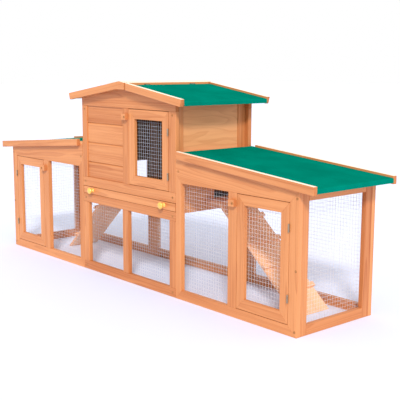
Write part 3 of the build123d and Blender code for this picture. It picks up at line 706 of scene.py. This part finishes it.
def write_grain(solid, rounded, axes, draws, painted_highlight_top, darkest, inward):
    """Attributes for the wood shaders: place in the tree, board tone, and which faces are end
    grain, rounded edges lightened as wear and painted highlight, top faces with a painted
    highlight, or inner cabin faces with painted shade."""
    along, across, through = axes
    grain = solid.verts.layers.float_vector.new("grain")
    tone = solid.verts.layers.float.new("tone")
    end_grain = solid.faces.layers.float.new("end_grain")
    wear_and_highlight = solid.faces.layers.float.new("wear_and_highlight")
    painted_highlight = solid.faces.layers.float.new("painted_highlight")
    shaded = solid.faces.layers.float.new("cabin_painted_shade")
    centre = sum((vert.co for vert in solid.verts), Vector()) / len(solid.verts)
    pith = Vector((
        draws.uniform(0, TRUNK_LENGTH),
        draws.uniform(-PITH_SIDEWAYS, PITH_SIDEWAYS),
        draws.choice((-1, 1)) * draws.uniform(*PITH_DEPTH),
    ))
    board_tone = draws.random() * darkest
    for vert in solid.verts:
        offset = vert.co - centre
        vert[grain] = Vector((offset.dot(along), offset.dot(across), offset.dot(through))) + pith
        vert[tone] = board_tone
    for face in solid.faces:
        face[end_grain] = 1.0 if abs(face.normal.dot(along)) > END_GRAIN_FACING else 0.0
        # Rounded faces are lightened in the shaders: partly wear, partly painted highlight.
        face[wear_and_highlight] = 1.0 if face in rounded else 0.0
        # Faces that look up get a painted highlight on the nodes that have one.
        face[painted_highlight] = 1.0 if painted_highlight_top and face.normal.z > FACING else 0.0
        # Faces that look into the cabin get painted shade.
        face[shaded] = 1.0 if inward and face.normal.dot(inward) > FACING else 0.0


def add_object(name, mesh, material, body, nodes=()):
    """Links a finished mesh as a piece that rides on a body and stands for CAD nodes."""
    mesh.materials.append(material)
    piece = bpy.data.objects.new(name, mesh)
    bpy.context.scene.collection.objects.link(piece)
    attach(piece, body)
    if nodes:
        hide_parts(*nodes)
    return piece


def body_of_node(node):
    """The name of the body that a CAD node rides on."""
    return frame["nodes"][node]["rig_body"]


def smooth_mesh(made, name):
    """A smooth-shaded mesh of a bmesh, which is then freed."""
    mesh = bpy.data.meshes.new(name)
    made.to_mesh(mesh)
    made.free()
    for polygon in mesh.polygons:
        polygon.use_smooth = True
    return mesh


def weighted_normals(piece):
    """Keeps broad faces looking flat between their rounded edges."""
    modifier = piece.modifiers.new("weighted_normals", "WEIGHTED_NORMAL")
    modifier.weight = NORMAL_WEIGHT
    modifier.keep_sharp = True


def join_solids(solids, name):
    """One smooth-shaded mesh of several bmeshes that have the same attributes."""
    whole = bmesh.new()
    for solid in solids:
        part = bpy.data.meshes.new("part")
        solid.to_mesh(part)
        solid.free()
        whole.from_mesh(part)
        bpy.data.meshes.remove(part)
    return smooth_mesh(whole, name)


def wooden_piece(node, material, edge=BOARD_EDGE, segments=EDGE_SEGMENTS, darkest=1.0):
    """A CAD node's boards with rounded edges, each with its own grain and tone."""
    draws = random.Random(node)
    solids = []
    for shell in closed_shells(node):
        solid = solid_from(shell)
        axes = board_axes(solid, node in LEVEL_GRAIN_NODES)
        rounded = bevel_solid(solid, edge * draws.uniform(*EDGE_VARIATION), segments)
        write_grain(solid, rounded, axes, draws, node in PAINTED_HIGHLIGHT_NODES, darkest,
                    CABIN_INWARD.get(node))
        solids.append(solid)
    mesh = join_solids(solids, node + "_boards")
    piece = add_object(node + "_boards", mesh, material, body_of_node(node), [node])
    weighted_normals(piece)


def metal_piece(node, material, name):
    """A CAD node's steel pieces with their edges broken."""
    solids = []
    for shell in closed_shells(node):
        solid = solid_from(shell)
        bevel_solid(solid, METAL_EDGE, EDGE_SEGMENTS)
        solids.append(solid)
    mesh = join_solids(solids, name)
    piece = add_object(name, mesh, material, body_of_node(node), [node])
    weighted_normals(piece)


# ---------------------------------------------------------------- tubes: wires and staples

def add_tube(mesh, points, radius, sides):
    """A round closed tube along a list of points."""
    rings = []
    for index, point in enumerate(points):
        before = points[max(index - 1, 0)]
        after = points[min(index + 1, len(points) - 1)]
        forward = (after - before).normalized()
        upright = Vector((0, 0, 1)) if abs(forward.z) < STEEP else Vector((1, 0, 0))
        side = forward.cross(upright).normalized()
        up = side.cross(forward)
        ring = []
        for step in range(sides):
            angle = 2 * math.pi * step / sides
            out = side * math.cos(angle) + up * math.sin(angle)
            ring.append(mesh.verts.new(point + out * radius))
        rings.append(ring)
    for ring, following in zip(rings, rings[1:]):
        for step in range(sides):
            after = (step + 1) % sides
            mesh.faces.new((ring[step], ring[after], following[after], following[step]))
    mesh.faces.new(rings[0][::-1])
    mesh.faces.new(rings[-1])


def plate_axes(low, high):
    """For a thin upright plate: the axis through it (0 or 1) and the one along it."""
    size = high - low
    return (0, 1) if size.x < size.y else (1, 0)


def wire_grid(node, inward, material):
    """Welded wire mesh in the place of a CAD plate.

    Upright wires touch the frame and level wires lie on their inner side, which
    is the side that inward, +1 or -1 along the axis through the plate, gives.
    """
    draws = random.Random(node)
    low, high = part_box(node)
    through, along = plate_axes(low, high)
    face = low[through] if inward > 0 else high[through]
    spans = {along: high[along] - low[along], 2: high.z - low.z}
    grid = bmesh.new()
    for run, across, layer in ((2, along, 0), (along, 2, 1)):
        count = int(spans[across] / WIRE_PITCH)
        margin = (spans[across] - count * WIRE_PITCH) / 2
        depth = face + inward * WIRE_RADIUS * (1 + WELD_SPACING * layer)
        for number in range(count + 1):
            drift = draws.uniform(-WIRE_SPREAD, WIRE_SPREAD)
            middle = low[across] + margin + number * WIRE_PITCH + drift
            bow = draws.uniform(-WIRE_BOW, WIRE_BOW)
            swell = draws.uniform(-WIRE_BOW, WIRE_BOW) * 0.5
            start = low[run] + draws.uniform(0, WIRE_TRIM)
            end = high[run] - draws.uniform(0, WIRE_TRIM)
            points = []
            for step in range(WIRE_STEPS + 1):
                share = step / WIRE_STEPS
                point = Vector((0, 0, 0))
                point[run] = start + (end - start) * share
                point[across] = middle + bow * math.sin(math.pi * share * 2)
                point[through] = depth + inward * abs(swell) * math.sin(math.pi * share)
                points.append(point)
            add_tube(grid, points, WIRE_RADIUS, WIRE_SIDES)
    mesh = smooth_mesh(grid, node + "_wires")
    add_object(node + "_wires", mesh, material, body_of_node(node), [node])


def staple(mesh, place, outward, along, through):
    """A wire staple over the mesh edge: a flat crown and two legs that go into the wood."""
    crown = STAPLE_WIDTH / 2
    rise = WIRE_RADIUS * 4 + STAPLE_RADIUS
    points = []
    for offset, height in STAPLE_CORNERS:
        point = Vector(place)
        point[along] += offset * crown
        point[through] += outward * rise * height
        points.append(point)
    add_tube(mesh, points, STAPLE_RADIUS, STAPLE_SIDES)


def staples(node, inward, material):
    """Staples round the edge of a mesh panel, driven into the frame."""
    draws = random.Random(node + " staples")
    low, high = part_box(node)
    through, along = plate_axes(low, high)
    face = low[through] if inward > 0 else high[through]
    made = bmesh.new()
    for across, run in ((2, along), (along, 2)):
        length = high[run] - low[run]
        count = max(2, round(length / STAPLE_PITCH))
        for edge in (low[across] + STAPLE_INSET, high[across] - STAPLE_INSET):
            for number in range(count):
                place = Vector((0, 0, 0))
                drift = draws.uniform(-STAPLE_DRIFT_ALONG, STAPLE_DRIFT_ALONG)
                place[run] = low[run] + length * (number + 0.5) / count + drift
                place[across] = edge + draws.uniform(-STAPLE_DRIFT_ACROSS, STAPLE_DRIFT_ACROSS)
                place[through] = face
                staple(made, place, inward, run, through)
    mesh = smooth_mesh(made, node + "_staples")
    add_object(node + "_staples", mesh, material, body_of_node(node))


# ---------------------------------------------------------------- crisp-edged pieces

def mark_sharp_edges(mesh, angle):
    """Keeps the corners of a smooth-shaded mesh crisp where it turns by more than the angle."""
    solid = bmesh.new()
    solid.from_mesh(mesh)
    for edge in solid.edges:
        edge.smooth = not (edge.is_manifold and edge.calc_face_angle() > angle)
    solid.to_mesh(mesh)
    solid.free()


def finish_piece(made, name, material, node, sharp):
    """Turns a bmesh into the piece that stands for a CAD node, crisp above the sharp angle."""
    bmesh.ops.recalc_face_normals(made, faces=made.faces)
    mesh = smooth_mesh(made, name)
    mark_sharp_edges(mesh, sharp)
    add_object(name, mesh, material, body_of_node(node), [node])


# ---------------------------------------------------------------- roofing felt

def top_line(node, side):
    """The felt's top at its inner and its eave end: two (x, z) points, and its lowest z."""
    points = [vertex.co for vertex in frame["nodes"][node].data.vertices]
    inner_x = min(points, key=lambda point: point.x * side).x
    outer_x = max(points, key=lambda point: point.x * side).x
    inner_heights = [point.z for point in points if abs(point.x - inner_x) < END_TOLERANCE]
    outer_heights = [point.z for point in points if abs(point.x - outer_x) < END_TOLERANCE]
    return (inner_x, max(inner_heights)), (outer_x, max(outer_heights)), min(outer_heights)


def felt_profile(node, side):
    """Points (x, z) down the roof, round the eave's fold and down its front, with normals."""
    (inner_x, inner_z), (outer_x, outer_z), lowest = top_line(node, side)
    run = abs(outer_x - inner_x)
    slope = math.atan2(inner_z - outer_z, run)
    turn = math.pi / 2 - slope
    cut_back = FELT_FOLD_RADIUS * math.tan(turn / 2)
    length = math.hypot(run, inner_z - outer_z) - cut_back
    direction = Vector((side * math.cos(slope), -math.sin(slope)))
    normal = Vector((side * math.sin(slope), math.cos(slope)))
    start = Vector((inner_x, inner_z))
    profile = []
    steps = round(length / FELT_GRID)
    for step in range(steps + 1):
        profile.append((start + direction * (length * step / steps), normal))
    centre = start + direction * length - normal * FELT_FOLD_RADIUS
    for step in range(1, FELT_FOLD_STEPS + 1):
        angle = slope + turn * step / FELT_FOLD_STEPS
        out = Vector((side * math.sin(angle), math.cos(angle)))
        profile.append((centre + out * FELT_FOLD_RADIUS, out))
    last = profile[-1][0]
    out = Vector((side, 0))
    for share in (0.5, 1.0):
        profile.append((Vector((last.x, last.y + (lowest - last.y) * share)), out))
    return profile


def felt_piece(node, material, draws):
    """A slightly wavy sheet of felt over a roof board, folded down at the eave."""
    low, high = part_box(node)
    profile = felt_profile(node, side=1 if low.x > 0 else -1)
    columns = round((high.y - low.y) / FELT_GRID)
    sheet = bmesh.new()
    seed = Vector((draws.uniform(0, NOISE_SPAN), draws.uniform(0, NOISE_SPAN), 0))
    layers = []
    for sunk in (0.0, FELT_THICK):
        rows = []
        for point, normal in profile:
            row = []
            for column in range(columns + 1):
                y = low.y + (high.y - low.y) * column / columns
                place = Vector((point.x, y, point.y))
                swell = noise.noise(place * FELT_BROAD_WAVES + seed)
                swell += 0.5 * noise.noise(place * FELT_FINE_WAVES + seed)
                border = min(column, columns - column, 2) / 2
                lift = FELT_WAVE * (swell - FELT_SUNK) * border
                shift = (lift if sunk == 0.0 else 0.0) - sunk
                row.append(sheet.verts.new(place + Vector((normal.x, 0, normal.y)) * shift))
            rows.append(row)
        layers.append(rows)
    top, bottom = layers
    count = len(profile)

    def quad(a, b, c, d):
        sheet.faces.new((a, b, c, d))

    for i in range(count - 1):
        for j in range(columns):
            quad(top[i][j], top[i + 1][j], top[i + 1][j + 1], top[i][j + 1])
            quad(bottom[i][j + 1], bottom[i + 1][j + 1], bottom[i + 1][j], bottom[i][j])
        quad(top[i + 1][0], top[i][0], bottom[i][0], bottom[i + 1][0])
        quad(top[i][columns], top[i + 1][columns], bottom[i + 1][columns], bottom[i][columns])
    for j in range(columns):
        quad(top[0][j], top[0][j + 1], bottom[0][j + 1], bottom[0][j])
        quad(top[-1][j + 1], top[-1][j], bottom[-1][j], bottom[-1][j + 1])
    finish_piece(sheet, node + "_sheet", material, node, FELT_SHARP_ANGLE)


# ---------------------------------------------------------------- screws and knobs

def add_lathe(mesh, profile, seat, segments, dent=None):
    """A turned shape that points forwards: profile is (radius, height) points from its seat out.

    dent(x, y) gives how far the surface sinks at a place on the head.
    """
    turn = Vector(FORWARDS).to_track_quat("Z", "Y").to_matrix()
    rings = []
    for radius, height in profile:
        ring = []
        for step in range(segments):
            angle = 2 * math.pi * step / segments
            x = radius * math.cos(angle)
            y = radius * math.sin(angle)
            sunk = dent(x, y) if dent else 0.0
            ring.append(mesh.verts.new(Vector(seat) + turn @ Vector((x, y, height - sunk))))
        rings.append(ring)
    for ring, following in zip(rings, rings[1:]):
        for step in range(segments):
            after = (step + 1) % segments
            mesh.faces.new((ring[step], ring[after], following[after], following[step]))
    mesh.faces.new(rings[0][::-1])
    mesh.faces.new(rings[-1])


def screw_profile(radius, height):
    """A low domed head from its seat to its middle, with enough rings for the cross recess."""
    profile = [(radius, -SCREW_SUNK), (radius, height * 0.45), (radius * 0.93, height * 0.75)]
    for step in range(SCREW_DOME_RINGS):
        share = 0.84 - 0.11 * step
        profile.append((radius * share, height * (1 - 0.25 * share * share)))
    return profile


def cross_recess(radius, turn):
    """A function that gives how far a cross-head's recess sinks at (x, y)."""
    arm = radius * 0.13
    reach = radius * 0.58
    depth = radius * 0.4

    def sunk(x, y):
        across = abs(x * math.cos(turn) + y * math.sin(turn))
        along = abs(-x * math.sin(turn) + y * math.cos(turn))
        if math.hypot(x, y) > reach:
            return 0.0
        return depth if min(across, along) < arm else 0.0
    return sunk


def add_screw(mesh, seat, height, draws):
    """A domed screw head with its cross recess turned at random."""
    dent = cross_recess(SCREW_HEAD_RADIUS, draws.uniform(0, math.pi / 2))
    add_lathe(mesh, screw_profile(SCREW_HEAD_RADIUS, height), seat, SCREW_SEGMENTS, dent)


def middle_of(shell):
    """The middle, lowest and highest corner of the box round one CAD solid."""
    points = [Vector(point) for point in shell[0]]
    low = Vector(min(point[axis] for point in points) for axis in range(3))
    high = Vector(max(point[axis] for point in points) for axis in range(3))
    return (low + high) / 2, low, high


def panel_screws(material):
    """The cross-head screws that hold the frames together."""
    draws = random.Random("panel screws")
    made = bmesh.new()
    for shell in closed_shells("panel_screws"):
        middle, low, high = middle_of(shell)
        add_screw(made, (middle.x, high.y, middle.z), high.y - low.y, draws)
    finish_piece(made, "panel_screw_heads", material, "panel_screws",
                 SCREW_SHARP_ANGLE)


def latch_screws(material):
    """The screws that the turn buttons pivot on: a plain shank and a domed cross head."""
    draws = random.Random("latch screws")
    made = bmesh.new()
    for shell in closed_shells("latch_screws"):
        middle, low, high = middle_of(shell)
        head_back = low.y + PIVOT_HEAD_HEIGHT
        shank = [(PIVOT_SHANK_RADIUS, 0), (PIVOT_SHANK_RADIUS, high.y - head_back)]
        add_lathe(made, shank, (middle.x, high.y, middle.z), PIVOT_SHANK_SEGMENTS)
        add_screw(made, (middle.x, head_back, middle.z), PIVOT_HEAD_HEIGHT, draws)
    finish_piece(made, "latch_screw_set", material, "latch_screws",
                 SCREW_SHARP_ANGLE)


def knobs(material):
    """Two turned knobs: a foot, a hollowed neck and a round head."""
    made = bmesh.new()
    for shell in closed_shells("drawer_knobs"):
        middle, low, high = middle_of(shell)
        reach = high.y - low.y
        radius = (high.x - low.x) / 2
        profile = [(radius * 0.70, 0), (radius * 0.70, reach * 0.09), (radius * 0.62, reach * 0.13)]
        for step in range(KNOB_NECK_RINGS):
            share = step / (KNOB_NECK_RINGS - 1)
            neck = radius * (0.52 - 0.09 * math.sin(math.pi * share))
            profile.append((neck, reach * (0.16 + 0.26 * share)))
        first, last = KNOB_HEAD_ANGLES
        for step in range(KNOB_HEAD_RINGS):
            angle = first + (last - first) * step / (KNOB_HEAD_RINGS - 1)
            height = reach * (0.70 + 0.30 * math.sin(angle))
            profile.append((radius * max(math.cos(angle), KNOB_TIP) ** KNOB_BULGE, height))
        add_lathe(made, profile, (middle.x, high.y, middle.z), KNOB_SEGMENTS)
    finish_piece(made, "turned_knobs", material, "drawer_knobs", KNOB_SHARP_ANGLE)


# ---------------------------------------------------------------- assembly

def build():
    """Every piece of the visual model, each in the place of its CAD node."""
    pine = pine_material("pine", PINE_LIGHT, PINE_DARK, PINE_KNOT_AND_PAINTED_SHADE, PINE_WEAR_AND_HIGHLIGHT)
    # A lighter copy of the pine for the ramps: painted light that offsets their shade.
    ramp_pine_painted_light = pine_material("ramp_pine_painted_light", RAMP_LIGHT, RAMP_DARK, RAMP_KNOT, RAMP_WEAR_AND_HIGHLIGHT)
    plywood = plywood_material()
    felt = felt_material()
    wire = metal_material("galvanised_wire", WIRE_BRIGHT, WIRE_DULL, metallic=0.1,
                          scratch_scale=300, spangle_scale=160)
    steel = metal_material("zinc_plated_steel", HINGE_BRIGHT, HINGE_DULL, metallic=0.8,
                           scratch_scale=500, spangle_scale=220)
    screw = metal_material("screw_steel", SCREW_BRIGHT, SCREW_DULL, metallic=0.5,
                           scratch_scale=500, spangle_scale=260)
    sheet = metal_material("galvanised_sheet", TRAY_BRIGHT, TRAY_DULL, metallic=0.85,
                           scratch_scale=200, spangle_scale=70)
    gold = knob_material()

    for node in PINE_NODES + both_sides(SIDE_PINE_NODES):
        mitred = node in MITRED_NODES
        edge = MITRED_EDGE if mitred else BOARD_EDGE
        darkest = EVEN_TONE if mitred or node in PAINTED_HIGHLIGHT_NODES else FRAME_TONE
        wooden_piece(node, pine, edge=edge, darkest=darkest)
    for node in RAMP_NODES:
        wooden_piece(node, ramp_pine_painted_light, darkest=RAMP_TONE)
    for node in LATCH_NODES:
        wooden_piece(node, pine, edge=LATCH_EDGE, segments=LATCH_SEGMENTS,
                     darkest=LATCH_TONE)
    for node in PLYWOOD_NODES:
        wooden_piece(node, plywood, edge=PLYWOOD_EDGE)
    felt_draws = random.Random("rabbit hutch")
    for node in FELT_NODES:
        felt_piece(node, felt, felt_draws)
    for node in MESH_NODES + both_sides(SIDE_MESH_NODES):
        low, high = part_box(node)
        through = plate_axes(low, high)[0]
        inward = -1 if low[through] + high[through] > 0 else 1
        wire_grid(node, inward, wire)
        staples(node, inward, wire)
    for node in HINGE_NODES:
        metal_piece(node, steel, node + "_steel")
    metal_piece("drawer_tray", sheet, "drawer_tray_sheet")
    panel_screws(screw)
    latch_screws(screw)
    knobs(gold)


make_camera()
make_studio()
build()
